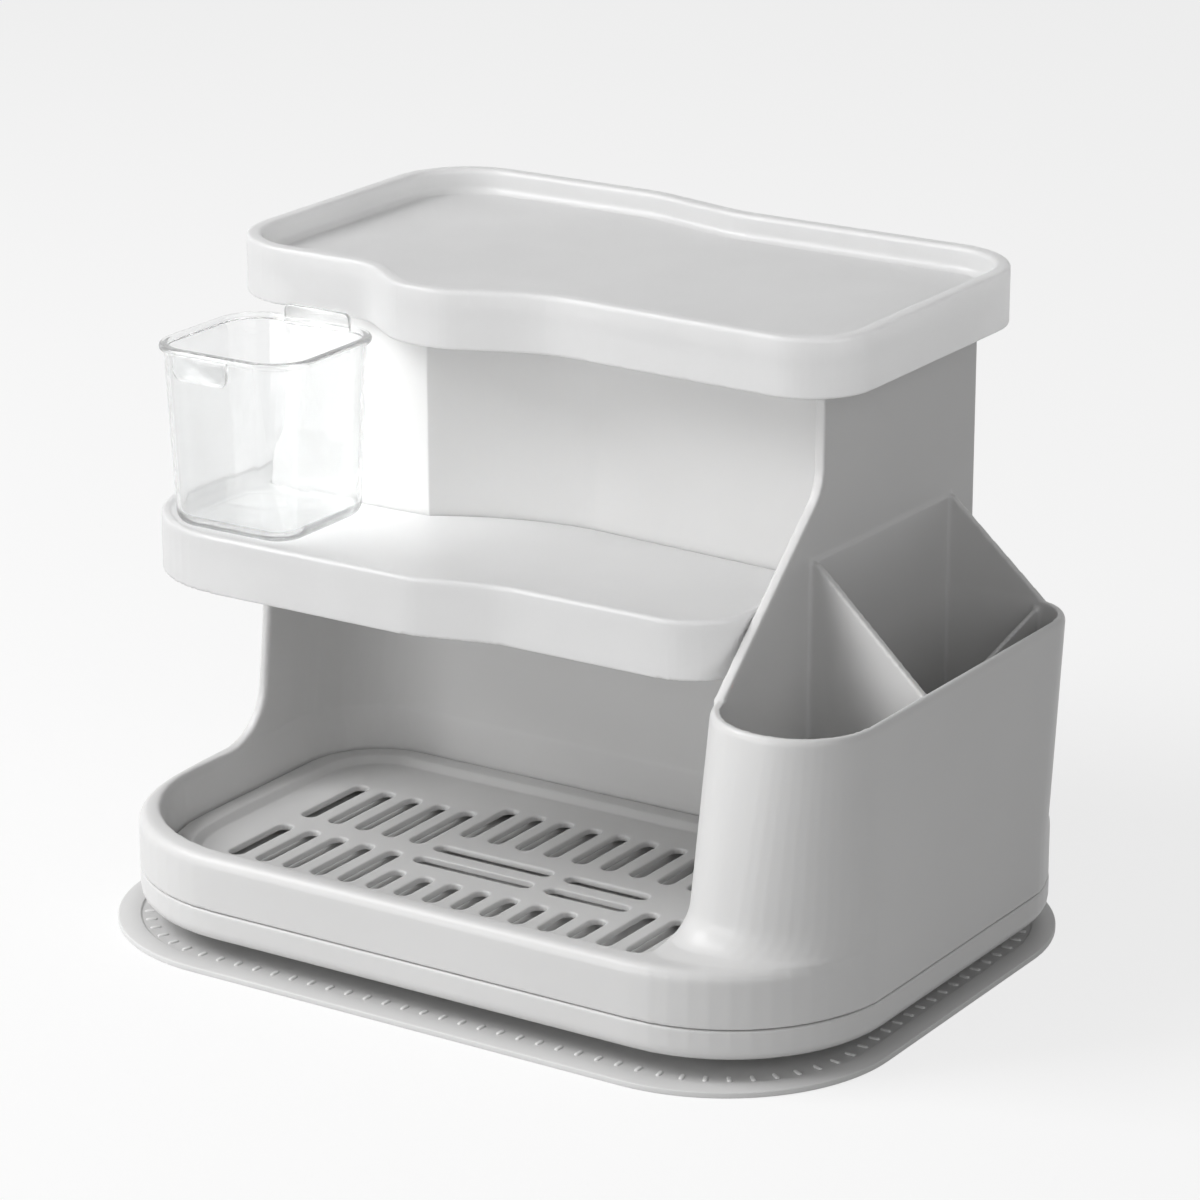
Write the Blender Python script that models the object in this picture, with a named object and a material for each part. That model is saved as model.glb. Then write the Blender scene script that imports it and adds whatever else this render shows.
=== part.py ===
"""Tiered shelf organizer: a base with a drain grille, two frosted trays, a side box and a clear cup.

Layout frame: X runs right from the base's left side, Y runs back from the base's front, Z up from the ground.
The whole model hangs on one empty, which puts the origin at the centre of the footprint.
"""

import math

import bmesh
import bpy
from mathutils import Matrix, Vector

MM = 0.001

# Fits
TOUCH_GAP = 0.3 * MM
SLIDE_GAP = 0.8 * MM
DROP_IN_GAP = 0.6 * MM

# Base
BASE_WIDTH = 303 * MM
BASE_DEPTH = 226 * MM
BASE_FRONT_RADIUS = 63 * MM
BASE_BACK_RADIUS = 54 * MM
BASE_BACK_RIGHT_RADIUS = 59 * MM
RIM_HEIGHT = 41 * MM
RIM_ROUNDING = 4 * MM
SEAM_HEIGHT = 20.7 * MM
WALL = 2.9 * MM

# Mat
MAT_LEFT = 5.7 * MM
MAT_RIGHT = 4.5 * MM
MAT_FRONT = 8.8 * MM
MAT_BACK = 3 * MM
MAT_RADIUS = 66 * MM
MAT_THICKNESS = 1.6 * MM
MAT_EDGE_WIDTH = 8.6 * MM
MAT_EDGE_RISE = 0.6 * MM

# Pan and feet
FOOT_HEIGHT = 6.8 * MM
FOOT_RADIUS = 7 * MM
FOOT_INSET = 42 * MM
FOOT_CHAMFER = 1 * MM
FOOT_PAD_RADIUS = 9 * MM
PAN_FLOOR = 2.4 * MM
PAN_WALL = 2.4 * MM
PAN_ROUNDING = 4.5 * MM

# Pan screws
SCREW_RADIUS = 1.5 * MM
SCREW_HEAD_RADIUS = 2.8 * MM
SCREW_HEAD_HEIGHT = 2 * MM
SCREW_GRIP = 5 * MM
SCREW_POINT = 1 * MM
BOSS_RADIUS = 4.2 * MM
PAD_RADIUS = 5.4 * MM
PAD_HEIGHT = 4.4 * MM
SCREW_FRONT_LEFT = (29.5 * MM, 30.5 * MM)
SCREW_FRONT_RIGHT = (BASE_WIDTH - 22 * MM, 62 * MM)
SCREW_BACK_LEFT = (34 * MM, BASE_DEPTH - 30 * MM)
SCREW_BACK_RIGHT = (BASE_WIDTH - 35 * MM, BASE_DEPTH - 30 * MM)

# Walls of the bays, from the base
BACK_WALL_Y = BASE_DEPTH - 59.5 * MM
SIDE_WALL_LENGTH = 114 * MM
SIDE_FRONT_Y = BASE_DEPTH - SIDE_WALL_LENGTH
RIGHT_WALL_X = BASE_WIDTH - 62.3 * MM
RIGHT_WALL = 4 * MM
RIGHT_WALL_LENGTH = 109.3 * MM
RIGHT_FRONT_Y = BASE_DEPTH - RIGHT_WALL_LENGTH

# Well with the drain grille
WELL_FRONT = 9 * MM
WELL_LEFT = 8.5 * MM
WELL_RADIUS = 57 * MM
WELL_TOP_RADIUS = 62 * MM
WELL_BACK_RADIUS = 32 * MM
WELL_RIGHT_RADIUS = 7 * MM
WELL_EDGE_ROUNDING = 2 * MM
LEDGE_HEIGHT = 19.4 * MM
LEDGE_WIDTH = 5 * MM
LEDGE_THICKNESS = 2.4 * MM
GRILLE_PLATE = 2.6 * MM
GRILLE_BORDER_RISE = 2.6 * MM
GRILLE_BORDER_WIDTH = 8 * MM
GRILLE_BORDER_SLOPE = 3 * MM
GRILLE_ROUNDING = 1.4 * MM
CATCH_DEPTH = 2.5 * MM
CATCH_INSET = 11.5 * MM
CATCH_SKIN = 2 * MM

# Slots, with places and lengths as shares of the well's depth or of the pitch
SLOT_WIDTH = 6.2 * MM
LONG_SLOT_COUNT = 5
SHORT_SLOT_COUNT = 8
RIGHT_SLOT_COUNT = 2
FIRST_SLOT_X = 39 * MM
LAST_SLOT_MARGIN = 29.5 * MM
WELL_DEPTH = BACK_WALL_Y - WELL_FRONT
FRONT_SLOT_START = WELL_FRONT + 0.235 * WELL_DEPTH
FRONT_LONG_SLOT = 0.222 * WELL_DEPTH
FRONT_SHORT_SLOT = 0.125 * WELL_DEPTH
BACK_LONG_SLOT_START = WELL_FRONT + 0.5206 * WELL_DEPTH
BACK_LONG_SLOT = 0.2413 * WELL_DEPTH
BACK_SHORT_SLOT_START = WELL_FRONT + 0.6159 * WELL_DEPTH
BACK_SHORT_SLOT = 0.2095 * WELL_DEPTH
CROSS_SLOT_FIRST_Y = WELL_FRONT + 0.4425 * WELL_DEPTH
CROSS_SLOT_GAP = 0.0832 * WELL_DEPTH
CROSS_SLOT_LONG_PITCHES = 4.146
CROSS_SLOT_SHORT_PITCHES = 2.846

# Lower bay
LEFT_WALL = 4.5 * MM
LEFT_WALL_LEAN = 0.085
WALL_SET_IN = 0.2 * MM
BAY_CORNER_RADIUS = 33 * MM
BAY_RIGHT_RADIUS = 6 * MM
FLARE_RADIUS = 20 * MM
REAR_RETURN = 8 * MM

# Upper wall
NECK_BOTTOM = 152 * MM
NECK_TOP = 170 * MM
NECK_STEP = 5.5 * MM
PILLAR_END_X = 0.34 * RIGHT_WALL_X
WAVE_END_X = 0.59 * RIGHT_WALL_X
WAVE_DEPTH = 18.4 * MM
PILLAR_BULGE = 0.4 * MM
UPPER_RIGHT_DROP = 6.5 * MM
PILLAR_EDGE_RADIUS = 5 * MM

# Right wall, whose front edge slants down to the side box
SLANT_TOP = 177.2 * MM
SLANT_BEND_RADIUS = 17 * MM
SLANT_EXTRA_RUN = 7.5 * MM

# Side box
BOX_HEIGHT = 119 * MM
BOX_TOP_WIDTH = 59.8 * MM
BOX_FRONT_Y = 28.7 * MM
BOX_BACK_Y = BASE_DEPTH - 18 * MM
BOX_BACK_RADIUS = 20 * MM
BOX_WALL = 3 * MM
BOX_FRONT_SPREAD = 7 * MM
BOX_FOOT_FILLET = 12 * MM
BOX_FOOT_RADIUS = 52 * MM
BOX_BACK_SPREAD = 18 * MM
BOX_BACK_PEAK = 152.2 * MM
BOX_BACK_SLOPE = 1.139
BOX_PEAK_WIDTH = 0.2 * MM
LINER = 1 * MM
DIVIDER_Y = 0.4788 * BASE_DEPTH
DIVIDER_SKEW = 0.196
DIVIDER_PEAK = 153 * MM
DIVIDER_DROP = 4 * MM
PARTITION_X = RIGHT_WALL_X + 40.8 * MM
PARTITION_WALL = 2 * MM
PARTITION_SLOPE = 0.25
BOX_INNER_DROP = 2 * MM
BOX_RIM_ROUNDING = 2 * MM

# Middle tray
MIDDLE_TRAY_TOP = 142.7 * MM
MIDDLE_SKIRT = 21.5 * MM
TRAY_WALL = 2.5 * MM
TRAY_EDGE_ROUNDING = 1.2 * MM
MIDDLE_TRAY_LEFT = 12.1 * MM
MIDDLE_TRAY_REACH = 66.5 * MM
MIDDLE_TRAY_FRONT = SIDE_FRONT_Y - MIDDLE_TRAY_REACH
MIDDLE_TRAY_WAVE = 9 * MM
MIDDLE_WAVE_RUN = 31 * MM
MIDDLE_LIP_WIDTH = 2.9 * MM
MIDDLE_LIP_RISE = 0.9 * MM
MIDDLE_STRIP_BACK = BACK_WALL_Y + 11.5 * MM
MIDDLE_STRIP_RADIUS = 8 * MM
MIDDLE_LEFT_RADIUS = 45 * MM
MIDDLE_RIGHT_RADIUS = 25 * MM
MIDDLE_WAVE_RADIUS = 40 * MM

# Top tray
TOP_TRAY_TOP = 233.7 * MM
TOP_SKIRT = 21.7 * MM
TOP_RIM_DEPTH = 9.4 * MM
TOP_RIM_WIDTH = 6 * MM
TOP_RIM_ROUNDING = 1.4 * MM
TOP_TRAY_LEFT = 11.5 * MM
TOP_TRAY_RIGHT = RIGHT_WALL_X + 16.8 * MM
TOP_TRAY_FRONT = SIDE_FRONT_Y - 3.4 * MM
TOP_TRAY_BUMP = 18.8 * MM
TOP_TRAY_STEP = 3.5 * MM
TOP_TRAY_RIGHT_STEP = 8.5 * MM
TOP_TRAY_BACK = BASE_DEPTH + 33.5 * MM
TOP_TRAY_BACK_WAVE = 10 * MM
TOP_TRAY_RADIUS = 32 * MM
TOP_TRAY_RIGHT_RADIUS = 25 * MM
TOP_WAVE_FOOT_RADIUS = 22 * MM
TOP_WAVE_PEAK_RADIUS = 24 * MM
TOP_WAVE_SHOULDER_RADIUS = 32 * MM
TOP_WAVE_END_RADIUS = 55 * MM
TOP_BACK_WAVE_RADIUS = 50 * MM
TOP_DISH_SLOPE = 2 * MM
TOP_DISH_FLARE = 1.2 * MM
LOCATING_RIB = 2 * MM
LOCATING_RIB_HEIGHT = 7 * MM
LOCATING_RIB_LENGTH = 22 * MM

# Clear cup
CUP_X = 36.3 * MM
CUP_Y = SIDE_FRONT_Y - 35.2 * MM
CUP_WIDTH = 64.8 * MM
CUP_DEPTH = 63.5 * MM
CUP_HEIGHT = 67.5 * MM
CUP_WALL = 1.7 * MM
CUP_FLOOR = 2.6 * MM
CUP_TAPER = 3 * MM
CUP_LIP = 1.6 * MM
CUP_LIP_HEIGHT = 2.6 * MM
CUP_CORNER = 17 * MM
CUP_FOOT_ROUNDING = 5.5 * MM
CUP_INSIDE_ROUNDING = 4 * MM
CUP_TAB_WIDTH = 29 * MM
CUP_TAB_SHIFT = 2.6 * MM
CUP_TAB_RISE = 4.9 * MM
CUP_TAB_THICKNESS = 1.5 * MM
CUP_TAB_INSET = 3 * MM
CUP_TAB_CHAMFER = 2 * MM
CUP_FRONT_TAB_WIDTH = 24 * MM
CUP_FRONT_TAB_DROP = 8 * MM
CUP_FRONT_TAB_SHIFT = -5.3 * MM
CUP_FRONT_TAB_RADIUS = 4 * MM

# Heights and places that follow
BASE_RADII = (BASE_FRONT_RADIUS, BASE_FRONT_RADIUS, BASE_BACK_RIGHT_RADIUS, BASE_BACK_RADIUS)
FOOT_BOTTOM = MAT_THICKNESS + TOUCH_GAP
PAN_BOTTOM = FOOT_BOTTOM + FOOT_HEIGHT
PAN_TOP = SEAM_HEIGHT - TOUCH_GAP
CAP_UNDERSIDE = RIM_HEIGHT - WALL
WALL_FOOT = CAP_UNDERSIDE + WALL / 3
MIDDLE_PLATE_UNDERSIDE = MIDDLE_TRAY_TOP - MIDDLE_LIP_RISE - TRAY_WALL
SHELF_TOP = MIDDLE_PLATE_UNDERSIDE - TOUCH_GAP
SHELF_UNDERSIDE = SHELF_TOP - WALL
TOP_FLOOR = TOP_TRAY_TOP - TOP_RIM_DEPTH
COLUMN_TOP = TOP_FLOOR - TRAY_WALL - TOUCH_GAP
CUP_BOTTOM = MIDDLE_TRAY_TOP - MIDDLE_LIP_RISE + TOUCH_GAP
BOX_RIGHT_X = RIGHT_WALL_X + BOX_TOP_WIDTH
GRILLE_BOTTOM = LEDGE_HEIGHT + TOUCH_GAP
GRILLE_BORDER_TOP = GRILLE_BOTTOM + GRILLE_PLATE + GRILLE_BORDER_RISE
SLOT_COUNT = LONG_SLOT_COUNT + SHORT_SLOT_COUNT + RIGHT_SLOT_COUNT
SLOT_PITCH = (RIGHT_WALL_X - LAST_SLOT_MARGIN - FIRST_SLOT_X) / (SLOT_COUNT - 1)
CATCH_TOP = GRILLE_BOTTOM - CATCH_DEPTH

# Colours
BODY_GREY = (0.62, 0.61, 0.60, 1)
PAN_GREY = (0.60, 0.59, 0.58, 1)
GRILLE_GREY = (0.56, 0.55, 0.54, 1)
MAT_GREY = (0.66, 0.65, 0.64, 1)
FROSTED = (0.86, 0.87, 0.87, 1)
CLEAR = (0.92, 0.93, 0.93, 1)
RUBBER = (0.25, 0.25, 0.25, 1)
STEEL = (0.6, 0.6, 0.6, 1)


def clear_scene():
    for thing in list(bpy.data.objects):
        bpy.data.objects.remove(thing, do_unlink=True)


def material(name, colour, roughness, metallic=0.0):
    made = bpy.data.materials.new(name)
    made.use_nodes = True
    shader = made.node_tree.nodes["Principled BSDF"]
    shader.inputs["Base Color"].default_value = colour
    shader.inputs["Roughness"].default_value = roughness
    shader.inputs["Metallic"].default_value = metallic
    return made


def rounded(corners, steps=6):
    """Closed outline through corners (x, y, radius), each turned into an arc that touches both its sides."""
    outline = []
    count = len(corners)
    for i, (x, y, radius) in enumerate(corners):
        here = Vector((x, y))
        before = (Vector(corners[i - 1][:2]) - here).normalized()
        after = (Vector(corners[(i + 1) % count][:2]) - here).normalized()
        half = before.angle(after) / 2
        if radius <= 0 or abs(half - math.pi / 2) < 1e-4:
            outline.append((x, y))
            continue
        centre = here + (before + after).normalized() * (radius / math.sin(half))
        start = here + before * (radius / math.tan(half)) - centre
        end = here + after * (radius / math.tan(half)) - centre
        turn = start.angle_signed(end)
        pieces = max(2, round(steps * abs(turn) / (math.pi / 2)))
        for k in range(pieces + 1):
            angle = -turn * k / pieces
            spoke = Matrix.Rotation(angle, 2) @ start
            outline.append(tuple(centre + spoke))
    return outline


def rectangle(x0, y0, x1, y1, radii, steps=6):
    """Rounded rectangle with radii for the front left, front right, back right and back left corners."""
    return rounded([(x0, y0, radii[0]), (x1, y0, radii[1]), (x1, y1, radii[2]), (x0, y1, radii[3])], steps)


def grown(corners, distance):
    """Corners of the outline moved outwards by distance, with radii that keep its arcs concentric."""
    smallest = 0.3 * MM
    moved = []
    count = len(corners)
    for i, (x, y, radius) in enumerate(corners):
        here = Vector((x, y))
        first = (here - Vector(corners[i - 1][:2])).normalized()
        second = (Vector(corners[(i + 1) % count][:2]) - here).normalized()
        normals = Vector((first.y + second.y, -first.x - second.x))
        place = here + normals * (distance / (1 + first.dot(second)))
        change = distance if first.cross(second) > 0 else -distance
        moved.append((place.x, place.y, max(smallest, radius + change) if radius > 0 else 0))
    return moved


def offset(outline, distance):
    """The closed outline moved outwards by distance, or inwards when distance is negative."""
    moved = []
    count = len(outline)
    for i in range(count):
        a, b, c = Vector(outline[i - 1]), Vector(outline[i]), Vector(outline[(i + 1) % count])
        first, second = (b - a).normalized(), (c - b).normalized()
        normal = Vector((first.y, -first.x)) + Vector((second.y, -second.x))
        normal.normalize()
        stretch = 1 / max(0.3, normal.dot(Vector((first.y, -first.x))))
        moved.append(tuple(b + normal * distance * stretch))
    return moved


def offset_path(path, distance):
    """An open path moved to its right by distance."""
    moved = []
    for i, point in enumerate(path):
        here = Vector(point)
        ahead = (Vector(path[min(i + 1, len(path) - 1)]) - here)
        behind = (here - Vector(path[max(i - 1, 0)]))
        sides = [v.normalized() for v in (behind, ahead) if v.length > 1e-9]
        normals = [Vector((v.y, -v.x)) for v in sides]
        normal = sum(normals, Vector((0, 0))).normalized()
        moved.append(tuple(here + normal * distance / max(0.3, normal.dot(normals[0]))))
    return moved


def new_object(name, mesh_builder):
    mesh = bpy.data.meshes.new(name)
    bm = bmesh.new()
    mesh_builder(bm)
    bmesh.ops.recalc_face_normals(bm, faces=bm.faces)
    bm.to_mesh(mesh)
    bm.free()
    made = bpy.data.objects.new(name, mesh)
    bpy.context.collection.objects.link(made)
    return made


def loft(name, rings):
    """Closed solid through rings of equally many 3-D points, with a flat face on the first and the last."""

    def build(bm):
        rows = [[bm.verts.new(point) for point in ring] for ring in rings]
        for low, high in zip(rows, rows[1:]):
            for i in range(len(low)):
                bm.faces.new((low[i - 1], low[i], high[i], high[i - 1]))
        bm.faces.new(rows[0])
        bm.faces.new(rows[-1])

    return new_object(name, build)


def level(outline, z):
    return [(x, y, z) for x, y in outline]


def prism(name, outline, bottom, top):
    return loft(name, [level(outline, bottom), level(outline, top)])


def side_prism(name, profile, x0, x1):
    """Solid with a (y, z) profile, drawn out along X."""
    return loft(name, [[(x0, y, z) for y, z in profile], [(x1, y, z) for y, z in profile]])


def front_prism(name, profile, y0, y1):
    """Solid with an (x, z) profile, drawn out along Y."""
    return loft(name, [[(x, y0, z) for x, z in profile], [(x, y1, z) for x, z in profile]])


def disc(x, y, radius, steps=20):
    turn = 2 * math.pi / steps
    return [(x + radius * math.cos(turn * i), y + radius * math.sin(turn * i)) for i in range(steps)]


def rounded_top(outline, bottom, top, rounding, steps=3):
    """Rings of a solid whose upper edge is rounded inwards."""
    rings = [level(outline, bottom)]
    for i in range(steps + 1):
        angle = math.pi / 2 * i / steps
        inset = rounding * (1 - math.cos(angle))
        rings.append(level(offset(outline, -inset), top - rounding + rounding * math.sin(angle)))
    return rings


def combine(target, tool, operation):
    modifier = target.modifiers.new("cut", "BOOLEAN")
    modifier.operation = operation
    modifier.solver = "EXACT"
    modifier.object = tool
    graph = bpy.context.evaluated_depsgraph_get()
    mesh = bpy.data.meshes.new_from_object(target.evaluated_get(graph))
    target.modifiers.clear()
    target.data = mesh
    bpy.data.objects.remove(tool, do_unlink=True)


def cut(target, *tools):
    for tool in tools:
        combine(target, tool, "DIFFERENCE")


def join(target, *tools):
    for tool in tools:
        combine(target, tool, "UNION")


def finish(piece, look, origin=(0, 0, 0)):
    """Gives a piece its material, smooth shading, clean mesh and an origin of its own."""
    bm = bmesh.new()
    bm.from_mesh(piece.data)
    bmesh.ops.remove_doubles(bm, verts=bm.verts, dist=1e-6)
    bmesh.ops.dissolve_limit(bm, angle_limit=math.radians(0.2), verts=bm.verts, edges=bm.edges)
    loose = [edge for edge in bm.edges if not edge.link_faces]
    bmesh.ops.delete(bm, geom=loose, context="EDGES")
    bmesh.ops.triangulate(bm, faces=bm.faces)
    bm.to_mesh(piece.data)
    bm.free()
    piece.data.materials.clear()
    piece.data.materials.append(look)
    piece.data.transform(Matrix.Translation(-Vector(origin)))
    piece.location = origin
    piece.data.shade_smooth()
    piece.data.set_sharp_from_angle(angle=math.radians(35))
    return piece


def base_outline():
    return rectangle(0, 0, BASE_WIDTH, BASE_DEPTH, BASE_RADII, 14)


def well_outline(distance=0):
    """Plan of the bay's well, moved outwards by distance."""
    corners = [
        (WELL_LEFT, WELL_FRONT, WELL_RADIUS),
        (RIGHT_WALL_X, WELL_FRONT, WELL_RIGHT_RADIUS),
        (RIGHT_WALL_X, BACK_WALL_Y, BAY_RIGHT_RADIUS),
        (WELL_LEFT, BACK_WALL_Y, WELL_BACK_RADIUS),
    ]
    return rounded(grown(corners, distance), 10)


def well_top_outline(distance=0):
    """Plan of the well at the rim, where its left side meets the wall above, moved outwards by distance."""
    left = WALL_SET_IN + LEFT_WALL
    corners = [
        (left, WELL_FRONT, WELL_TOP_RADIUS),
        (RIGHT_WALL_X, WELL_FRONT, WELL_RIGHT_RADIUS),
        (RIGHT_WALL_X, BACK_WALL_Y, BAY_RIGHT_RADIUS),
        (left, BACK_WALL_Y, BAY_CORNER_RADIUS),
    ]
    return rounded(grown(corners, distance), 10)


def dense(outline, spacing):
    """The outline with its long sides divided into steps no longer than spacing."""
    points = []
    for i, (x, y) in enumerate(outline):
        a, b = outline[(i + 1) % len(outline)]
        pieces = max(1, math.ceil(math.hypot(a - x, b - y) / spacing))
        points += [(x + (a - x) * k / pieces, y + (b - y) * k / pieces) for k in range(pieces)]
    return points


def opened(outline, amount, right_limit):
    """Moves the outline outwards where the rim is open, and leaves it where a wall stands on the rim."""
    fade = 2 * FLARE_RADIUS
    moved = []
    for (x, y), (a, b) in zip(outline, offset(outline, amount)):
        ahead = min(1, max(0, (SIDE_FRONT_Y - FLARE_RADIUS - y) / fade))
        aside = min(1, max(0, (right_limit - x) / fade))
        share = ahead * aside
        moved.append((x + (a - x) * share, y + (b - y) * share))
    return moved


def well_space():
    """Space of the bay's well: its sides run from the ledge up to the rim, whose open edge is rounded."""
    low, high = well_outline(), well_top_outline(-WALL_SET_IN)
    count = len(low)
    rings = []
    steps = 3
    straight = [(LEDGE_HEIGHT, 0), (GRILLE_BORDER_TOP, 0)]
    levels = straight + [(RIM_HEIGHT - RIM_ROUNDING * (1 - i / steps), i / steps) for i in range(steps + 1)]
    for z, share in levels:
        rise = max(0, z - straight[1][0]) / (RIM_HEIGHT - straight[1][0])
        blended = []
        for i in range(count):
            a, b = Vector(low[i]), Vector(low[(i + 1) % count])
            c, d = Vector(high[i]), Vector(high[(i + 1) % count])
            pieces = max(1, math.ceil((b - a).length / FLARE_RADIUS))
            for k in range(pieces):
                blended.append(tuple(a.lerp(b, k / pieces).lerp(c.lerp(d, k / pieces), rise)))
        edge = opened(blended, WELL_EDGE_ROUNDING * share ** 2, RIGHT_WALL_X - FLARE_RADIUS)
        rings.append(level(edge, z))
    rings.append(level(offset(edge, -WALL), RIM_HEIGHT + WALL))
    return loft("well", rings)


def anti_slip_mat():
    right, back = BASE_WIDTH + MAT_RIGHT, BASE_DEPTH + MAT_BACK
    outline = rectangle(-MAT_LEFT, -MAT_FRONT, right, back, (MAT_RADIUS,) * 4, 14)
    mat = prism("anti_slip_mat", outline, 0, MAT_THICKNESS + MAT_EDGE_RISE)
    inner = offset(outline, -MAT_EDGE_WIDTH)
    cut(mat, prism("recess", inner, MAT_THICKNESS, MAT_THICKNESS + 2 * MAT_EDGE_RISE))
    return mat


def foot_places():
    left, right = FOOT_INSET, BASE_WIDTH - FOOT_INSET
    front, back = FOOT_INSET, BASE_DEPTH - FOOT_INSET
    return {
        "foot_front_left": (left, front),
        "foot_front_right": (right, front),
        "foot_back_left": (left, back),
        "foot_back_right": (right, back),
    }


def screw_places():
    return {
        "pan_screw_front_left": SCREW_FRONT_LEFT,
        "pan_screw_front_right": SCREW_FRONT_RIGHT,
        "pan_screw_back_left": SCREW_BACK_LEFT,
        "pan_screw_back_right": SCREW_BACK_RIGHT,
    }


def foot(name, x, y):
    rings = [
        level(disc(x, y, FOOT_RADIUS - FOOT_CHAMFER), FOOT_BOTTOM),
        level(disc(x, y, FOOT_RADIUS), FOOT_BOTTOM + FOOT_CHAMFER),
        level(disc(x, y, FOOT_RADIUS), PAN_BOTTOM - TOUCH_GAP),
    ]
    return loft(name, rings)


def pan_rings(inset, bottom, top):
    """Rings of the pan's side, which curves inwards towards its floor."""
    rings = []
    steps = 4
    for i in range(steps + 1):
        angle = math.pi / 2 * i / steps
        outline = offset(base_outline(), -inset - PAN_ROUNDING * (1 - math.sin(angle)))
        rings.append(level(outline, bottom + PAN_ROUNDING * (1 - math.cos(angle))))
    rings.append(level(offset(base_outline(), -inset), top))
    return rings


def drip_pan():
    """Pan whose floor is raised under the grille, to catch what drips through its slots."""
    pan = loft("drip_pan", pan_rings(0, PAN_BOTTOM, PAN_TOP))
    cut(pan, loft("inside", pan_rings(PAN_WALL, PAN_BOTTOM + PAN_FLOOR, 2 * SEAM_HEIGHT)))
    join(pan, prism("catch_floor", well_outline(-CATCH_INSET), PAN_BOTTOM + PAN_FLOOR / 2, CATCH_TOP))
    cut(pan, prism("recess", well_outline(-CATCH_INSET - CATCH_SKIN), 0, CATCH_TOP - CATCH_SKIN))
    for x, y in foot_places().values():
        join(pan, prism("foot_pad", disc(x, y, FOOT_PAD_RADIUS), PAN_BOTTOM, CATCH_TOP - CATCH_SKIN / 2))
    for x, y in screw_places().values():
        join(pan, prism("pad", disc(x, y, PAD_RADIUS), PAN_BOTTOM + PAN_FLOOR / 2, PAN_BOTTOM + PAD_HEIGHT))
        cut(pan, prism("hole", disc(x, y, SCREW_RADIUS + TOUCH_GAP), 0, SEAM_HEIGHT))
        head_room = SCREW_HEAD_HEIGHT + 2 * TOUCH_GAP
        cut(pan, prism("head", disc(x, y, SCREW_HEAD_RADIUS + TOUCH_GAP), 0, PAN_BOTTOM + head_room))
    return pan


def pan_screw(name, x, y):
    head_bottom = PAN_BOTTOM + TOUCH_GAP
    head_top = head_bottom + SCREW_HEAD_HEIGHT
    tip = PAN_BOTTOM + PAD_HEIGHT + TOUCH_GAP + SCREW_GRIP
    rings = [
        level(disc(x, y, SCREW_HEAD_RADIUS, 16), head_bottom),
        level(disc(x, y, SCREW_HEAD_RADIUS, 16), head_top),
        level(disc(x, y, SCREW_RADIUS, 16), head_top),
        level(disc(x, y, SCREW_RADIUS, 16), tip - SCREW_POINT),
        level(disc(x, y, SCREW_RADIUS / 2, 16), tip),
    ]
    screw = loft(name, rings)
    recess = prism("drive", disc(x, y, SCREW_HEAD_RADIUS / 2, 6), 0, head_bottom + SCREW_HEAD_HEIGHT / 2)
    cut(screw, recess)
    return screw


def slot(x0, y0, x1, y1):
    """Outline of a slot with round ends, from one end to the other."""
    return rectangle(x0, y0, x1, y1, (SLOT_WIDTH / 2.02,) * 4, 3)


def grille_slots():
    """Slots in two rows, long ones on both flanks, and four cross slots between the rows."""
    half = SLOT_WIDTH / 2
    slots = []
    for i in range(SLOT_COUNT):
        x = FIRST_SLOT_X + i * SLOT_PITCH
        middle = LONG_SLOT_COUNT <= i < LONG_SLOT_COUNT + SHORT_SLOT_COUNT
        front_length = FRONT_SHORT_SLOT if middle else FRONT_LONG_SLOT
        back_start = BACK_SHORT_SLOT_START if i >= LONG_SLOT_COUNT else BACK_LONG_SLOT_START
        back_length = BACK_SHORT_SLOT if i >= LONG_SLOT_COUNT else BACK_LONG_SLOT
        slots.append(slot(x - half, FRONT_SLOT_START, x + half, FRONT_SLOT_START + front_length))
        slots.append(slot(x - half, back_start, x + half, back_start + back_length))
    first = FIRST_SLOT_X + LONG_SLOT_COUNT * SLOT_PITCH - half
    first_end = first + CROSS_SLOT_LONG_PITCHES * SLOT_PITCH
    second = first_end + SLOT_WIDTH
    second_end = second + CROSS_SLOT_SHORT_PITCHES * SLOT_PITCH
    for row in range(2):
        y = CROSS_SLOT_FIRST_Y + row * CROSS_SLOT_GAP
        slots.append(slot(first, y - half, first_end, y + half))
        slots.append(slot(second, y - half, second_end, y + half))
    return slots


def drain_grille():
    outline = well_outline(-DROP_IN_GAP)
    border_top = GRILLE_BORDER_TOP
    plate_top = GRILLE_BOTTOM + GRILLE_PLATE
    grille = loft("drain_grille", rounded_top(outline, GRILLE_BOTTOM, border_top, GRILLE_ROUNDING, 2))
    low = well_outline(-DROP_IN_GAP - GRILLE_BORDER_WIDTH - GRILLE_BORDER_SLOPE)
    high = well_outline(-DROP_IN_GAP - GRILLE_BORDER_WIDTH)
    above = border_top + GRILLE_BORDER_RISE
    cut(grille, loft("dish", [level(low, plate_top), level(high, border_top), level(high, above)]))
    for outline in grille_slots():
        cut(grille, prism("slot", outline, 0, above))
    return grille


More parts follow.
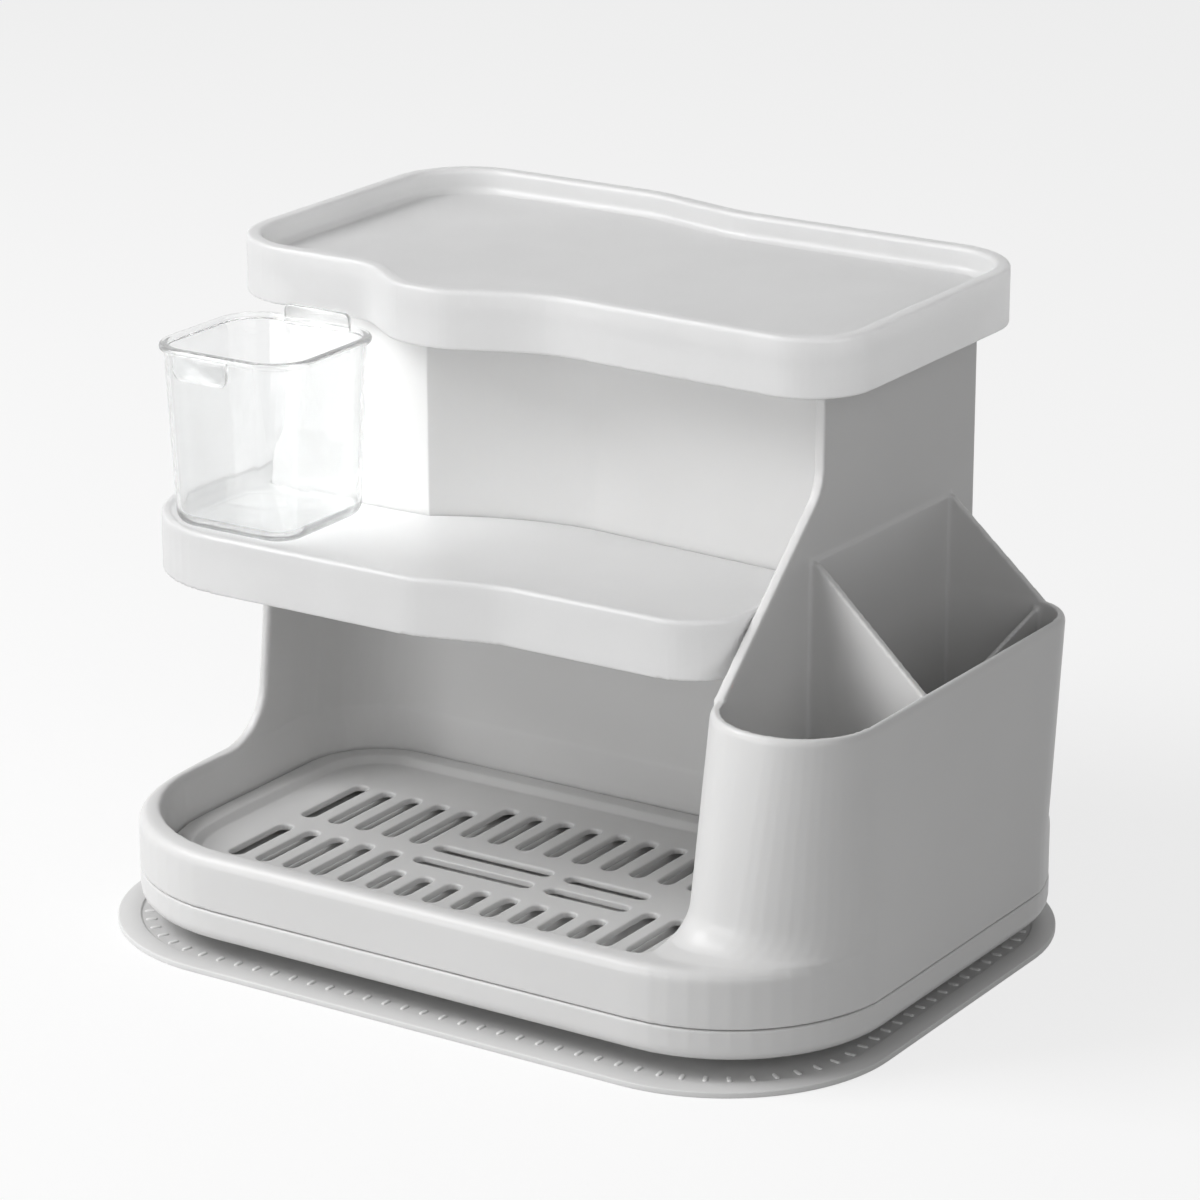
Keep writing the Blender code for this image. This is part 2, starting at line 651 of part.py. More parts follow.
def plinth():
    outline = rectangle(0, 0, BASE_WIDTH - WALL_SET_IN, BASE_DEPTH, BASE_RADII, 14)
    outline = dense(outline, FLARE_RADIUS)
    rings = [level(outline, SEAM_HEIGHT)]
    steps = 4
    for i in range(steps + 1):
        angle = math.pi / 2 * i / steps
        inset = RIM_ROUNDING * (1 - math.cos(angle))
        height = RIM_HEIGHT - RIM_ROUNDING + RIM_ROUNDING * math.sin(angle)
        rings.append(level(opened(outline, -inset, 2 * BASE_WIDTH), height))
    block = loft("body_shell", rings)
    hollow = prism("hollow", offset(base_outline(), -WALL), 0, CAP_UNDERSIDE)
    cut(block, hollow)
    side = well_outline(WALL)
    rings = [
        level(side, LEDGE_HEIGHT - LEDGE_THICKNESS),
        level(side, GRILLE_BORDER_TOP - WALL),
        level(well_top_outline(WALL), CAP_UNDERSIDE),
        level(well_top_outline(WALL), CAP_UNDERSIDE + WALL / 2),
    ]
    join(block, loft("well_side", rings))
    return block


def lower_wall():
    """Left wall and lower back wall in one. The left wall's foot sweeps forwards into the rim."""
    bottom, top = RIM_HEIGHT - 1.5 * RIM_ROUNDING, SHELF_UNDERSIDE + WALL / 3
    back = BACK_WALL_Y + WALL
    rear = BASE_DEPTH - WALL_SET_IN

    def ring(z):
        lean = LEFT_WALL_LEAN * max(0, z - RIM_HEIGHT)
        outer = WALL_SET_IN + lean
        inner = outer + LEFT_WALL
        end = outer + BASE_BACK_RADIUS + REAR_RETURN
        rise = min(FLARE_RADIUS, max(0, z - RIM_HEIGHT))
        front = SIDE_FRONT_Y - FLARE_RADIUS + math.sqrt(FLARE_RADIUS ** 2 - (FLARE_RADIUS - rise) ** 2)
        corners = [
            (outer, front, 0.4 * LEFT_WALL),
            (inner, front, 0.4 * LEFT_WALL),
            (inner, BACK_WALL_Y, BAY_CORNER_RADIUS),
            (RIGHT_WALL_X + RIGHT_WALL / 2, BACK_WALL_Y, 0),
            (RIGHT_WALL_X + RIGHT_WALL / 2, back, 0),
            (inner, back, WALL / 3),
            (inner, rear - LEFT_WALL, BASE_BACK_RADIUS - LEFT_WALL),
            (end, rear - LEFT_WALL, 0),
            (end, rear, 0),
            (outer, rear, BASE_BACK_RADIUS),
        ]
        return level(rounded(corners, 10), z)

    steps = 9
    heights = [RIM_HEIGHT + FLARE_RADIUS * (1 - math.cos(math.pi / 2 * i / steps)) for i in range(steps + 1)]
    return loft("lower_wall", [ring(z) for z in [bottom] + heights + [top]])


def upper_front_path(z):
    """Plan line of the upper wall's outer face, from the rear left corner round to the right wall."""
    lean = LEFT_WALL_LEAN * (z - RIM_HEIGHT)
    blend = min(1, max(0, (z - NECK_BOTTOM) / (NECK_TOP - NECK_BOTTOM)))
    left = WALL_SET_IN + lean + NECK_STEP * (3 * blend ** 2 - 2 * blend ** 3)
    rear = BASE_DEPTH - WALL_SET_IN
    path = [(left + BASE_BACK_RADIUS + REAR_RETURN, rear)]
    path += arc(left + BASE_BACK_RADIUS, rear - BASE_BACK_RADIUS, BASE_BACK_RADIUS, 90, 180, 10)
    edge = left + PILLAR_EDGE_RADIUS
    path += arc(edge, SIDE_FRONT_Y + PILLAR_EDGE_RADIUS, PILLAR_EDGE_RADIUS, 180, 270, 6)
    steps = 8
    for i in range(1, steps):
        share = i / steps
        x = edge + (PILLAR_END_X - edge) * share
        path.append((x, SIDE_FRONT_Y - PILLAR_BULGE * (1 - (2 * share - 1) ** 2)))
    steps = 12
    for i in range(steps + 1):
        share = i / steps
        x = PILLAR_END_X + (WAVE_END_X - PILLAR_END_X) * share
        path.append((x, SIDE_FRONT_Y + WAVE_DEPTH * (1 - (1 - share) ** 2)))
    path.append((RIGHT_WALL_X + RIGHT_WALL / 2, SIDE_FRONT_Y + WAVE_DEPTH - UPPER_RIGHT_DROP))
    return path


def arc(x, y, radius, start, end, steps):
    """Points on an arc round (x, y) from a start to an end angle in degrees."""
    angles = [math.radians(start + (end - start) * i / steps) for i in range(steps + 1)]
    return [(x + radius * math.cos(angle), y + radius * math.sin(angle)) for angle in angles]


def upper_wall():
    levels = [SHELF_UNDERSIDE + WALL * 2 / 3, NECK_BOTTOM]
    levels += [NECK_BOTTOM + (NECK_TOP - NECK_BOTTOM) * i / 6 for i in range(1, 7)]
    levels += [COLUMN_TOP]
    rings = []
    for z in levels:
        outer = upper_front_path(z)
        inner = offset_path(outer, -WALL)
        rings.append(level(outer + inner[::-1], z))
    return loft("upper_wall", rings)


def top_plate():
    path = offset_path(upper_front_path(COLUMN_TOP), -WALL_SET_IN)
    outline = path + [(RIGHT_WALL_X + RIGHT_WALL / 2, BASE_DEPTH - 2 * WALL_SET_IN)]
    return prism("top_plate", outline, COLUMN_TOP - WALL, COLUMN_TOP - WALL_SET_IN)


def middle_tray_corners():
    """Corners of the tray's front, from the left side round to the right side."""
    left, front = -MIDDLE_TRAY_LEFT, MIDDLE_TRAY_FRONT
    right = RIGHT_WALL_X - SLIDE_GAP
    wave_start = right / 2
    wave_end = wave_start + MIDDLE_WAVE_RUN
    return [
        (left, front, MIDDLE_LEFT_RADIUS),
        (wave_start, front, MIDDLE_WAVE_RADIUS),
        (wave_end, front + MIDDLE_TRAY_WAVE, MIDDLE_WAVE_RADIUS),
        (right, front + MIDDLE_TRAY_WAVE, MIDDLE_RIGHT_RADIUS),
    ]


def middle_tray_front(distance):
    """The same corners moved inwards by distance."""
    back = [(RIGHT_WALL_X - SLIDE_GAP, BASE_DEPTH, 0), (-MIDDLE_TRAY_LEFT, BASE_DEPTH, 0)]
    return grown(middle_tray_corners() + back, -distance)[:4]


def shelf():
    """Ledge that carries the middle tray inside its skirt, and runs back through the column."""
    front = middle_tray_front(TRAY_WALL + SLIDE_GAP)
    right_join = MIDDLE_TRAY_FRONT + MIDDLE_TRAY_WAVE + TRAY_WALL + MIDDLE_RIGHT_RADIUS + SLIDE_GAP
    side = WALL_SET_IN + LEFT_WALL_LEAN * (SHELF_TOP - RIM_HEIGHT) + WALL_SET_IN
    corners = front + [
        (front[3][0], right_join, 0),
        (RIGHT_WALL_X + RIGHT_WALL / 2, right_join, 0),
        (RIGHT_WALL_X + RIGHT_WALL / 2, BASE_DEPTH - 2 * WALL_SET_IN, 0),
        (side, BASE_DEPTH - 2 * WALL_SET_IN, BASE_BACK_RADIUS),
        (side, SIDE_FRONT_Y + WALL, 0),
        (front[0][0], SIDE_FRONT_Y + WALL, 0),
    ]
    return prism("shelf", rounded(corners, 10), SHELF_UNDERSIDE, SHELF_TOP)


def right_wall():
    slant_drop = SLANT_TOP - BOX_HEIGHT
    low_front = RIGHT_FRONT_Y - slant_drop - SLANT_EXTRA_RUN
    corners = [
        (BASE_DEPTH, WALL_FOOT, 0),
        (BASE_DEPTH, COLUMN_TOP, 0),
        (RIGHT_FRONT_Y, COLUMN_TOP, 0),
        (RIGHT_FRONT_Y, SLANT_TOP, SLANT_BEND_RADIUS),
        (low_front, BOX_HEIGHT, 0),
        (low_front, WALL_FOOT, 0),
    ]
    profile = rounded(corners, 16)
    return side_prism("right_wall", profile, RIGHT_WALL_X, RIGHT_WALL_X + RIGHT_WALL)


def box_outline(share, sweep, inner=False):
    """Plan of the side box, outside or inside, at a share of the way from its rim down to its foot."""
    wall = BOX_WALL if inner else 0
    left = RIGHT_WALL_X + (RIGHT_WALL if inner else 0)
    right = BOX_RIGHT_X + (BASE_WIDTH - BOX_RIGHT_X) * share - wall
    radius = (right - left - BOX_WALL) / 2
    change = (BOX_FOOT_RADIUS - radius) * (share + sweep) / 2
    back = BOX_BACK_RADIUS + BOX_BACK_SPREAD * share - wall
    front = BOX_FRONT_Y - BOX_FRONT_SPREAD * share - BOX_FOOT_FILLET * sweep + wall
    return rectangle(left, front, right, BOX_BACK_Y - wall, (radius - change, radius + change, back, 0), 14)


def box_shell():
    rings = []
    steps = 7
    levels = [SEAM_HEIGHT]
    levels += [RIM_HEIGHT + BOX_FOOT_FILLET * i / steps for i in range(steps + 1)]
    levels += [BOX_HEIGHT - BOX_RIM_ROUNDING * drop for drop in (1, 0.3, 0)]
    for z in levels:
        share = (BOX_HEIGHT - max(z, RIM_HEIGHT)) / (BOX_HEIGHT - RIM_HEIGHT)
        fillet = 1 - min(1, max(0, (z - RIM_HEIGHT) / BOX_FOOT_FILLET))
        outline = box_outline(share, 1 - math.sqrt(1 - fillet ** 2))
        top_inset = max(0, z - BOX_HEIGHT + BOX_RIM_ROUNDING) ** 2 / BOX_RIM_ROUNDING / 2
        rings.append(level(offset(outline, -top_inset), z))
    return loft("box_shell", rings)


def box_cavity():
    rings = []
    for z in (RIM_HEIGHT, BOX_HEIGHT + WALL):
        share = max(0, BOX_HEIGHT - z) / (BOX_HEIGHT - RIM_HEIGHT)
        rings.append(level(box_outline(share, 0, True), z))
    return loft("box_cavity", rings)


def box_back_y(x, share):
    """How far back the middle of the box's back wall lies at x, at a share of the way from rim to foot."""
    radius = BOX_BACK_RADIUS + BOX_BACK_SPREAD * share
    centre = BOX_RIGHT_X + (BASE_WIDTH - BOX_RIGHT_X) * share - radius
    across = max(0, x - centre)
    return BOX_BACK_Y - radius + math.sqrt((radius - BOX_WALL / 2) ** 2 - across ** 2)


def box_back_wing():
    """Top of the box's back wall, which slopes from the column down to the box rim and follows its corner."""
    start = RIGHT_WALL_X + RIGHT_WALL / 2
    peak_end = start + RIGHT_WALL + BOX_PEAK_WIDTH
    foot = BOX_HEIGHT - BOX_INNER_DROP / 2
    end = peak_end + (BOX_BACK_PEAK - foot) * BOX_BACK_SLOPE
    steps = 16
    xs = [start, peak_end] + [peak_end + (end - peak_end) * i / steps for i in range(1, steps + 1)]
    middle = [(x, box_back_y(x, 0)) for x in xs]
    half = BOX_WALL / 2 - WALL_SET_IN / 2
    outer, inner = offset_path(middle, -half), offset_path(middle, half)
    low = BOX_HEIGHT - BOX_WALL
    rings = []
    for x, (a, b), (c, d) in zip(xs, outer, inner):
        top = BOX_BACK_PEAK - max(0, x - peak_end) / BOX_BACK_SLOPE
        rings.append([(a, b, low), (a, b, top), (c, d, top), (c, d, low)])
    return loft("box_back_wing", rings)


def divider_y(x):
    """Front face of the box's divider at x."""
    return DIVIDER_Y - DIVIDER_SKEW * (x - RIGHT_WALL_X - RIGHT_WALL / 2)


def box_divider():
    """Wall across the box, a little askew, whose top slopes from the right wall down to the box rim."""
    start, end = RIGHT_WALL_X + RIGHT_WALL / 2, BOX_RIGHT_X - BOX_WALL / 2
    top = BOX_HEIGHT - DIVIDER_DROP
    profile = [
        (start, WALL_FOOT),
        (start, DIVIDER_PEAK),
        (start + RIGHT_WALL + LINER, DIVIDER_PEAK),
        (end - BOX_WALL / 3, top),
        (end, top - BOX_WALL / 3),
        (BASE_WIDTH - BOX_WALL / 2, WALL_FOOT),
    ]

    def side(distance):
        return [(x, divider_y(x) + distance, z) for x, z in profile]

    return loft("box_divider", [side(0), side(BOX_WALL)])


def box_liner():
    """Second skin on the right wall behind the divider. Its top runs from the divider to the back wall."""
    front, back = DIVIDER_Y + BOX_WALL / 2, BOX_BACK_Y - BOX_WALL / 2
    profile = [
        (front, WALL_FOOT),
        (back, WALL_FOOT),
        (back, BOX_BACK_PEAK - WALL_SET_IN),
        (front, DIVIDER_PEAK - WALL_SET_IN),
    ]
    return side_prism("box_liner", profile, RIGHT_WALL_X + RIGHT_WALL / 2, RIGHT_WALL_X + RIGHT_WALL + LINER)


def box_partition():
    middle = PARTITION_X + PARTITION_WALL / 2
    front, back = divider_y(middle) + BOX_WALL / 2, box_back_y(middle, 0)
    top = BOX_HEIGHT - BOX_INNER_DROP
    profile = [
        (front, WALL_FOOT),
        (box_back_y(middle, 1), WALL_FOOT),
        (back, top),
        (front, top - PARTITION_SLOPE * (back - front)),
    ]
    return side_prism("box_partition", profile, PARTITION_X, PARTITION_X + PARTITION_WALL)


def body_shell():
    body = plinth()
    box = box_shell()
    cut(box, box_cavity(), prism("hollow", offset(base_outline(), -WALL), 0, CAP_UNDERSIDE))
    join(body, lower_wall(), right_wall(), shelf(), upper_wall(), top_plate(), box)
    join(body, box_back_wing(), box_divider(), box_partition(), box_liner())
    cut(body, well_space())
    cut(body, prism("drain", well_outline(-LEDGE_WIDTH), 0, RIM_HEIGHT))
    for x, y in screw_places().values():
        top = LEDGE_HEIGHT if y < BACK_WALL_Y and x < RIGHT_WALL_X else RIM_HEIGHT - WALL / 2
        bottom = PAN_BOTTOM + PAD_HEIGHT + TOUCH_GAP
        join(body, prism("boss", disc(x, y, BOSS_RADIUS), bottom, top))
        cut(body, prism("bore", disc(x, y, SCREW_RADIUS + TOUCH_GAP), 0, bottom + SCREW_GRIP + TOUCH_GAP))
    return body


def middle_tray():
    left, right, back = -MIDDLE_TRAY_LEFT, RIGHT_WALL_X - SLIDE_GAP, BACK_WALL_Y
    strip_right = PILLAR_END_X / 2
    corners = middle_tray_corners() + [
        (right, back, 0),
        (strip_right, back, 0),
        (strip_right, MIDDLE_STRIP_BACK, 0),
        (left, MIDDLE_STRIP_BACK, MIDDLE_STRIP_RADIUS),
    ]
    bottom = MIDDLE_TRAY_TOP - MIDDLE_SKIRT
    outline = rounded(corners, 14)
    tray = loft("middle_tray", rounded_top(outline, bottom, MIDDLE_TRAY_TOP, TRAY_EDGE_ROUNDING, 2))
    pocket = middle_tray_front(TRAY_WALL)
    side_end = pocket[3][1] + MIDDLE_RIGHT_RADIUS
    pocket += [
        (pocket[3][0], side_end, 0),
        (right + TRAY_WALL, side_end, 0),
        (right + TRAY_WALL, BASE_DEPTH, 0),
        (pocket[0][0], BASE_DEPTH, 0),
    ]
    cut(tray, prism("pocket", rounded(pocket, 14), 0, MIDDLE_PLATE_UNDERSIDE))
    lip = MIDDLE_LIP_WIDTH
    dish = middle_tray_front(lip) + [
        (right - lip, back + lip, 0),
        (strip_right, back + lip, 0),
        (strip_right, MIDDLE_STRIP_BACK - lip, 0),
        (left + lip, MIDDLE_STRIP_BACK - lip, 0),
    ]
    dish_bottom = MIDDLE_TRAY_TOP - MIDDLE_LIP_RISE
    cut(tray, prism("dish", rounded(dish, 14), dish_bottom, MIDDLE_TRAY_TOP + TRAY_WALL))
    far = (RIGHT_WALL_X + WALL, BASE_DEPTH)
    low = offset_path(upper_front_path(bottom), SLIDE_GAP) + [far]
    high = offset_path(upper_front_path(NECK_BOTTOM), SLIDE_GAP) + [far]
    cut(tray, loft("column_room", [level(low, bottom), level(high, NECK_BOTTOM)]))
    return tray


def top_tray_corners():
    """Corners of the tray, with the places of its waves as shares of its width."""
    left, right = -TOP_TRAY_LEFT, TOP_TRAY_RIGHT
    front, back = TOP_TRAY_FRONT, TOP_TRAY_BACK
    peak = front - TOP_TRAY_BUMP
    width = right - left
    return [
        (left, front, TOP_TRAY_RADIUS),
        (left + 0.262 * width, front, TOP_WAVE_FOOT_RADIUS),
        (left + 0.351 * width, peak, TOP_WAVE_PEAK_RADIUS),
        (left + 0.422 * width, peak, TOP_WAVE_SHOULDER_RADIUS),
        (left + 0.556 * width, front - TOP_TRAY_STEP, TOP_WAVE_END_RADIUS),
        (right, front - TOP_TRAY_RIGHT_STEP, TOP_TRAY_RIGHT_RADIUS),
        (right, back - TOP_TRAY_BACK_WAVE, TOP_TRAY_RADIUS),
        (left + 0.53 * width, back - TOP_TRAY_BACK_WAVE, TOP_BACK_WAVE_RADIUS),
        (left + 0.377 * width, back, TOP_BACK_WAVE_RADIUS),
        (left, back, TOP_TRAY_RADIUS),
    ]


def top_tray():
    outline = rounded(top_tray_corners(), 14)
    bottom = TOP_TRAY_TOP - TOP_SKIRT
    tray = loft("top_tray", rounded_top(outline, bottom, TOP_TRAY_TOP, TOP_RIM_ROUNDING, 3))
    inner = offset(outline, -TOP_RIM_WIDTH)
    flared = offset(inner, TOP_DISH_FLARE)
    dish = [
        level(offset(inner, -TOP_DISH_SLOPE), TOP_FLOOR),
        level(inner, TOP_FLOOR + TOP_DISH_SLOPE),
        level(inner, TOP_TRAY_TOP - TOP_DISH_FLARE),
        level(flared, TOP_TRAY_TOP),
        level(flared, TOP_TRAY_TOP + WALL),
    ]
    cut(tray, loft("dish", dish))
    cut(tray, prism("underside", offset(outline, -TRAY_WALL), 0, TOP_FLOOR - TRAY_WALL))
    ribs = locating_ribs()
    join(tray, *ribs)
    return tray


def locating_ribs():
    """Short ribs under the tray's floor that keep it in place on the column."""
    top = TOP_FLOOR - TRAY_WALL / 2
    bottom = TOP_FLOOR - TRAY_WALL - LOCATING_RIB_HEIGHT
    column_left = min(x for x, y in upper_front_path(COLUMN_TOP))
    right_face = RIGHT_WALL_X + RIGHT_WALL + SLIDE_GAP
    left_face = column_left - SLIDE_GAP
    back_face = BASE_DEPTH + SLIDE_GAP
    length = LOCATING_RIB_LENGTH
    side_y = (SIDE_FRONT_Y + BASE_DEPTH) / 2
    ribs = []
    for y in (side_y - length, side_y + length / 2):
        ribs.append(rectangle(left_face - LOCATING_RIB, y, left_face, y + length, (0,) * 4))
        ribs.append(rectangle(right_face, y, right_face + LOCATING_RIB, y + length, (0,) * 4))
    for x in (RIGHT_WALL_X / 4, RIGHT_WALL_X * 3 / 4):
        ribs.append(rectangle(x, back_face, x + length, back_face + LOCATING_RIB, (0,) * 4))
    return [prism("rib", outline, bottom, top) for outline in ribs]


def cup_outline(distance):
    """Plan of the cup's wall at the rim, moved outwards by distance."""
    x, y = CUP_WIDTH / 2 - CUP_LIP, CUP_DEPTH / 2 - CUP_LIP
    radius = CUP_CORNER - CUP_LIP
    corners = [(-x, -y, radius), (x, -y, radius), (x, y, radius), (-x, y, radius)]
    return rounded(grown(corners, distance), 10)


def cup_taper(z):
    """How far the cup's wall lies inwards of its rim, as a negative distance."""
    return -CUP_TAPER * (1 - z / CUP_HEIGHT)


def quarter_rings(top_distance, bottom, radius, steps):
    """Rings of an outline's rounded lower edge, from its flat bottom up to its side."""
    rings = []
    for i in range(steps + 1):
        angle = math.pi / 2 * i / steps
        distance = top_distance - radius * (1 - math.sin(angle))
        rings.append(level(cup_outline(distance), bottom + radius * (1 - math.cos(angle))))
    return rings


def cup_back_tab():
    """Tab that rises behind the cup's rim."""
    back = CUP_DEPTH / 2 - CUP_TAB_INSET
    left, right = CUP_TAB_SHIFT - CUP_TAB_WIDTH / 2, CUP_TAB_SHIFT + CUP_TAB_WIDTH / 2
    low, high = CUP_HEIGHT - CUP_LIP_HEIGHT, CUP_HEIGHT + CUP_TAB_RISE
    corners = [(left, low, 0), (right, low, 0), (right, high, CUP_TAB_CHAMFER), (left, high, CUP_TAB_CHAMFER)]
    return front_prism("back_tab", rounded(corners, 4), back - CUP_TAB_THICKNESS, back)


def cup_front_tab():
    """Small tab that hangs from the front of the cup's rim."""
    front = -CUP_DEPTH / 2
    left = CUP_FRONT_TAB_SHIFT - CUP_FRONT_TAB_WIDTH / 2
    right = left + CUP_FRONT_TAB_WIDTH
    low, high = CUP_HEIGHT - CUP_LIP_HEIGHT - CUP_FRONT_TAB_DROP, CUP_HEIGHT - CUP_LIP_HEIGHT / 2
    radius = CUP_FRONT_TAB_RADIUS
    corners = [(left, low, radius), (right, low, radius), (right, high, 0), (left, high, 0)]
    thickness = CUP_TAB_THICKNESS
    return front_prism("front_tab", rounded(corners, 5), front - thickness / 2, front + thickness / 2)


def clear_cup():
    """Modelled round its own upright axis, then stood on the middle tray."""
    lip_bottom = CUP_HEIGHT - CUP_LIP_HEIGHT
    rings = quarter_rings(cup_taper(0), 0, CUP_FOOT_ROUNDING, 5)
    rings.append(level(cup_outline(cup_taper(lip_bottom - CUP_LIP)), lip_bottom - CUP_LIP))
    steps = 5
    middle = lip_bottom + CUP_LIP_HEIGHT / 2
    for i in range(steps + 1):
        angle = math.pi * (i / steps - 0.5)
        distance = CUP_LIP - CUP_LIP_HEIGHT / 2 * (1 - math.cos(angle))
        rings.append(level(cup_outline(distance), middle + CUP_LIP_HEIGHT / 2 * math.sin(angle)))
    cup = loft("clear_cup", rings)
    inside = quarter_rings(cup_taper(0) - CUP_WALL, CUP_FLOOR, CUP_INSIDE_ROUNDING, 4)
    inside.append(level(cup_outline(-CUP_WALL), CUP_HEIGHT + WALL))
    cut(cup, loft("inside", inside))
    join(cup, cup_back_tab(), cup_front_tab())
    return cup


def build():
    clear_scene()
    body = material("body_plastic", BODY_GREY, 0.45)
    pan = material("pan_plastic", PAN_GREY, 0.45)
    grille = material("grille_plastic", GRILLE_GREY, 0.5)
    mat = material("mat_silicone", MAT_GREY, 0.6)
    frosted = material("frosted_plastic", FROSTED, 0.35)
    clear = material("clear_plastic", CLEAR, 0.05)
    rubber = material("foot_rubber", RUBBER, 0.8)
    steel = material("screw_steel", STEEL, 0.35, 1.0)

    pieces = [
        finish(anti_slip_mat(), mat),
        finish(drip_pan(), pan),
        finish(body_shell(), body),
        finish(drain_grille(), grille, (RIGHT_WALL_X / 2, BACK_WALL_Y / 2, GRILLE_BOTTOM)),
        finish(middle_tray(), frosted, (RIGHT_WALL_X / 2, MIDDLE_TRAY_FRONT, MIDDLE_TRAY_TOP)),
        finish(top_tray(), frosted, (RIGHT_WALL_X / 2, SIDE_FRONT_Y, TOP_FLOOR)),
    ]
    cup = finish(clear_cup(), clear)
    cup.location = (CUP_X, CUP_Y, CUP_BOTTOM)
    pieces.append(cup)
    for name, (x, y) in foot_places().items():
        pieces.append(finish(foot(name, x, y), rubber, (x, y, FOOT_BOTTOM)))
    for name, (x, y) in screw_places().items():
        pieces.append(finish(pan_screw(name, x, y), steel, (x, y, PAN_BOTTOM)))

    stand = bpy.data.objects.new("organizer", None)
    bpy.context.collection.objects.link(stand)
    left, right = -max(MIDDLE_TRAY_LEFT, TOP_TRAY_LEFT), BASE_WIDTH + MAT_RIGHT
    front, back = -MAT_FRONT, TOP_TRAY_BACK
    stand.location = (-(left + right) / 2, -(front + back) / 2, 0)
    for piece in pieces:
        piece.parent = stand


build()
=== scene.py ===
"""Looks of the tiered shelf organizer: satin and frosted plastic, a clear cup and a ticked mat."""

import math

import bmesh
import bpy
from mathutils import Matrix, Vector

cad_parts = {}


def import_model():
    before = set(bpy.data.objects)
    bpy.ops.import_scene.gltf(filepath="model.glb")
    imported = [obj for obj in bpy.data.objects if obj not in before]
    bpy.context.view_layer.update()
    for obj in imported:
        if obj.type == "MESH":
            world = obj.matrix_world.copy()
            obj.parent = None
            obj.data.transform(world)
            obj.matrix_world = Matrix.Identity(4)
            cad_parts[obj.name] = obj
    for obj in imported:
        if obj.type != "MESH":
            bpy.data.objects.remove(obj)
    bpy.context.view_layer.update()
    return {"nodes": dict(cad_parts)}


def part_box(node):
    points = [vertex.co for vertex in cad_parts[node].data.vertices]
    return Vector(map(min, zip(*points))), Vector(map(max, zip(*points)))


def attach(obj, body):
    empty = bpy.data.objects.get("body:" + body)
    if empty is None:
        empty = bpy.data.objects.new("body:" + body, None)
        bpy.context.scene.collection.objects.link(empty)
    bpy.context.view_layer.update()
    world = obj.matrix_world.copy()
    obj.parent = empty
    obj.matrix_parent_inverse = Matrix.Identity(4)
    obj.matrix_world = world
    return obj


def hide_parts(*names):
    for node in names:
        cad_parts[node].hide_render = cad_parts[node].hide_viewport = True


MM = 0.001

# Camera, placed as in the photograph
CAMERA_PLACE = (0.86976, -1.35027, 0.65141)
CAMERA_AIM = (-0.0575, 0.08867, 0.082)
LENS = 141
SENSOR = 36
CLIP_START = 0.01
CLIP_END = 50

# Mat
MAT_RADIUS = 66 * MM
MAT_TOP = 1.6 * MM
MAT_CORNER_STEPS = 32
MAT_EDGE_WIDTH = 8.6 * MM
MAT_EDGE_ROUNDING = 0.5 * MM
MAT_EDGE_SLOPE = 1 * MM
MAT_EDGE_STEPS = 6
MAT_SHARP = 60

# Ticks on the mat, with their rings as (share of the width, share of the height)
TICK_LENGTH = 4.2 * MM
TICK_WIDTH = 1.7 * MM
TICK_HEIGHT = 0.55 * MM
TICK_PITCH = 8 * MM
TICK_INSET = 12 * MM
TICK_PATH_STEPS = 45
TICK_END_STEPS = 6
TICK_RINGS = [(1, -1), (1, 0.3), (0.8, 0.8), (0.35, 1)]

# Cup, with the sizes of its solid
CUP_WIDTH = 64.8 * MM
CUP_DEPTH = 63.5 * MM
CUP_HEIGHT = 67.5 * MM
CUP_WALL = 1.7 * MM
CUP_FLOOR = 2.6 * MM
CUP_TAPER = 3 * MM
CUP_LIP = 1.6 * MM
CUP_LIP_HEIGHT = 2.6 * MM
CUP_CORNER = 17 * MM
CUP_CORNER_STEPS = 22
CUP_FOOT_ROUNDING = 5.5 * MM
CUP_INSIDE_ROUNDING = 4 * MM
CUP_INNER_EDGE = 0.5 * MM
CUP_CURVE_STEPS = 10
CUP_SHARP = 50
CUP_CLEARNESS = 0.12

# Tabs of the cup, the back one above the rim and the front one below it
CUP_TAB_WIDTH = 29 * MM
CUP_TAB_SHIFT = 2.6 * MM
CUP_TAB_RISE = 4.9 * MM
CUP_TAB_THICKNESS = 1.5 * MM
CUP_TAB_INSET = 3 * MM
CUP_TAB_RADIUS = 2.4 * MM
CUP_TAB_ROUNDING = 0.4 * MM
CUP_TAB_STEPS = 8
CUP_FRONT_TAB_WIDTH = 24 * MM
CUP_FRONT_TAB_DROP = 8 * MM
CUP_FRONT_TAB_SHIFT = -5.3 * MM
CUP_FRONT_TAB_RADIUS = 4 * MM
TAB_SHARP = 40

# Small roundings, where a quarter turn needs few steps
EDGE_STEPS = 4

# Tones, dark and light
BODY_TONES = ((0.685, 0.683, 0.68), (0.705, 0.703, 0.70))
GRILLE_TONES = ((0.66, 0.658, 0.655), (0.68, 0.678, 0.675))
TRAY_TONES = ((0.84, 0.84, 0.84), (0.87, 0.87, 0.87))
CUP_TONES = ((0.975, 0.98, 0.98), (0.985, 0.99, 0.99))
CUP_PASSING_TONE = (0.97, 0.973, 0.973, 1)
MAT_TONES = ((0.70, 0.698, 0.695), (0.72, 0.718, 0.715))
# The ticks are the mat's own silicone; their lighter tone is a painted highlight on their raised tops
TICK_HIGHLIGHT_TONES = ((0.76, 0.758, 0.755), (0.78, 0.778, 0.775))
RUBBER_TONES = ((0.10, 0.10, 0.10), (0.14, 0.14, 0.14))
STEEL_TONES = ((0.55, 0.55, 0.56), (0.64, 0.64, 0.65))
WHITE = (1, 1, 1, 1)
BACKDROP = (0.99, 0.99, 0.99, 1)

# Soft edges
WELD_DISTANCE = 0.001 * MM

